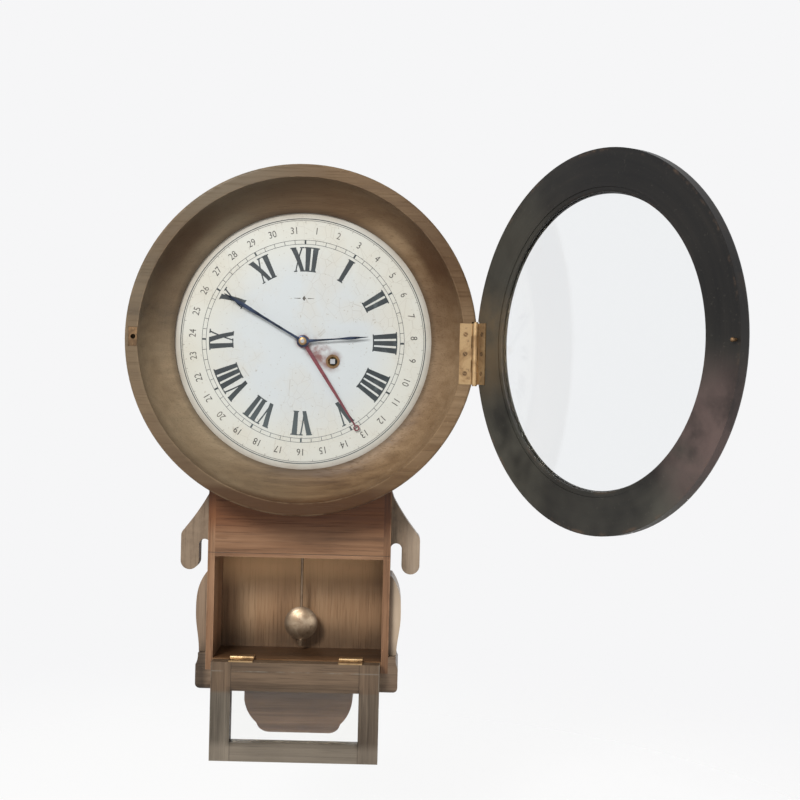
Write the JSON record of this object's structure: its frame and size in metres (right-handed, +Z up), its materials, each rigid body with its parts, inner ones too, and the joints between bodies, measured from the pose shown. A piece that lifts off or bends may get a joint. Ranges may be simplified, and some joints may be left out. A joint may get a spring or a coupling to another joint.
{
  "type": "calendar wall clock",
  "caption": "Round-headed wall clock with a short glazed trunk: hinged bezel and door, hour, minute and calendar hands, spring-driven train and pendulum.",
  "frame": {"origin": "on the back of the case, where it meets the wall, at the dial's axis", "axes": "+Z up, -Y out of the wall towards the reader, +X to the reader's right"},
  "size_m": [0.4544, 0.3415, 0.4977],
  "materials": {
    "case_wood": "aged satin varnish over open grain",
    "turned_wood": "aged satin varnish, turned and dished",
    "moulded_wood": "worn satin varnish",
    "dark_wood": "dark stain under shellac",
    "door_wood": "worn grey-brown stain",
    "block_wood": "bare sawn wood",
    "dial_paint": "printed and aged white paint",
    "brass": "aged brass",
    "plate_brass": "rolled brass sheet",
    "steel": "bright drawn steel",
    "blued_steel": "blued steel",
    "red_hand": "red lacquered steel",
    "bob_metal": "worn brass face",
    "glass": "old flat glass"
  },
  "bodies": {
    "case": {"back_board": "case_wood", "head_drum": "case_wood", "dial_surround": "turned_wood", "trunk_side_left": "case_wood", "trunk_side_right": "case_wood", "trunk_front": "case_wood", "trunk_bottom": "case_wood", "base_moulding": "moulded_wood", "side_strips": "moulded_wood", "ear_left": "case_wood", "ear_right": "case_wood", "chin": "moulded_wood", "hanger_plate": "brass", "case_screws": "brass", "dial": "dial_paint", "dial_screws": "steel", "winding_bush": "brass", "bezel_hinge_leaf": "brass", "bezel_hinge_pin": "brass", "catch_plate": "brass", "movement_posts": "block_wood", "back_plate": "plate_brass", "front_plate": "plate_brass", "plate_pillars": "steel", "pillar_nuts": "brass", "work_studs": "steel", "suspension_cock": "brass", "suspension_pin": "steel", "mainspring": "steel", "calendar_detent": "steel", "door_hinge_leaves": "brass", "door_hinge_pins": "steel"},
    "bezel": {"bezel_ring": "dark_wood", "bezel_glass": "glass", "glass_ring": "dark_wood", "bezel_leaf": "brass", "catch_pin": "brass"},
    "trunk_door": {"door_frame": "door_wood", "door_glass": "glass", "door_beads": "door_wood", "door_leaves": "brass", "door_knob": "brass"},
    "centre": {"centre_arbor": "steel", "centre_wheel": "plate_brass", "cannon_pinion": "plate_brass", "minute_hand": "blued_steel", "hand_nut": "brass"},
    "minute_work": {"minute_wheel": "plate_brass"},
    "hour_work": {"hour_wheel": "plate_brass", "hour_hand": "blued_steel"},
    "day_wheel": {"calendar_drive": "plate_brass"},
    "calendar_work": {"calendar_wheel": "plate_brass", "calendar_hand": "red_hand"},
    "second": {"second_wheel": "plate_brass"},
    "great": {"great_wheel": "plate_brass"},
    "winding": {"winding_arbor": "steel"},
    "third": {"third_wheel": "plate_brass"},
    "escape": {"escape_wheel": "plate_brass"},
    "verge": {"verge": "steel"},
    "pendulum": {"pendulum": "bob_metal"}
  },
  "joints": [
    {"name": "bezel_hinge", "type": "hinge", "parent": "case", "child": "bezel", "pos_m": [0.143, -0.1055, -0.008], "axis": [0, 0, 1], "range_deg": [-124, 30]},
    {"name": "door_hinge", "type": "hinge", "parent": "case", "child": "trunk_door", "pos_m": [0, -0.0674, -0.26875], "axis": [1, 0, 0], "range_deg": [-180, 0]},
    {"name": "third_wheel_turn", "type": "hinge", "parent": "case", "child": "third", "pos_m": [-0.01502, -0.047, 0.01794], "axis": [0, 1, 0], "continuous": true},
    {"name": "minute_hand_turn", "type": "hinge", "parent": "case", "child": "centre", "pos_m": [0, -0.047, 0], "axis": [0, 1, 0], "continuous": true},
    {"name": "minute_wheel_turn", "type": "hinge", "parent": "case", "child": "minute_work", "pos_m": [-0.01273, -0.047, -0.01273], "axis": [0, 1, 0], "continuous": true},
    {"name": "hour_hand_turn", "type": "hinge", "parent": "case", "child": "hour_work", "pos_m": [0, -0.047, 0], "axis": [0, 1, 0], "continuous": true},
    {"name": "day_wheel_turn", "type": "hinge", "parent": "case", "child": "day_wheel", "pos_m": [-0.01559, -0.047, 0.009], "axis": [0, 1, 0], "continuous": true},
    {"name": "second_wheel_turn", "type": "hinge", "parent": "case", "child": "second", "pos_m": [-0.00174, -0.047, -0.02394], "axis": [0, 1, 0], "continuous": true},
    {"name": "great_wheel_turn", "type": "hinge", "parent": "case", "child": "great", "pos_m": [0.0252, -0.047, -0.0163], "axis": [0, 1, 0], "continuous": true},
    {"name": "escape_wheel_turn", "type": "hinge", "parent": "case", "child": "escape", "pos_m": [0, -0.047, 0.026], "axis": [0, 1, 0], "continuous": true},
    {"name": "winding", "type": "hinge", "parent": "great", "child": "winding", "pos_m": [0.0252, -0.047, -0.0163], "axis": [0, 1, 0], "continuous": true},
    {"name": "calendar_hand_turn", "type": "hinge", "parent": "case", "child": "calendar_work", "pos_m": [0, -0.047, 0], "axis": [0, 1, 0], "continuous": true},
    {"name": "pendulum_swing", "type": "hinge", "parent": "case", "child": "pendulum", "pos_m": [0, -0.047, 0.044], "axis": [0, 1, 0], "range_deg": [-3.5, 3.5]},
    {"name": "verge_rock", "type": "hinge", "parent": "case", "child": "verge", "pos_m": [0, -0.047, 0.044], "axis": [0, 1, 0], "range_deg": [-3.5, 3.5]}
  ],
  "couplings": [
    {"joint": "minute_hand_turn", "follows": "third_wheel_turn", "ratio": -0.083333},
    {"joint": "minute_wheel_turn", "follows": "third_wheel_turn", "ratio": 0.027778},
    {"joint": "hour_hand_turn", "follows": "third_wheel_turn", "ratio": -0.0069444},
    {"joint": "day_wheel_turn", "follows": "third_wheel_turn", "ratio": 0.0034722},
    {"joint": "second_wheel_turn", "follows": "third_wheel_turn", "ratio": 0.020833},
    {"joint": "great_wheel_turn", "follows": "third_wheel_turn", "ratio": -0.0023148},
    {"joint": "escape_wheel_turn", "follows": "third_wheel_turn", "ratio": -9.3333},
    {"joint": "verge_rock", "follows": "pendulum_swing", "ratio": 1}
  ]
}
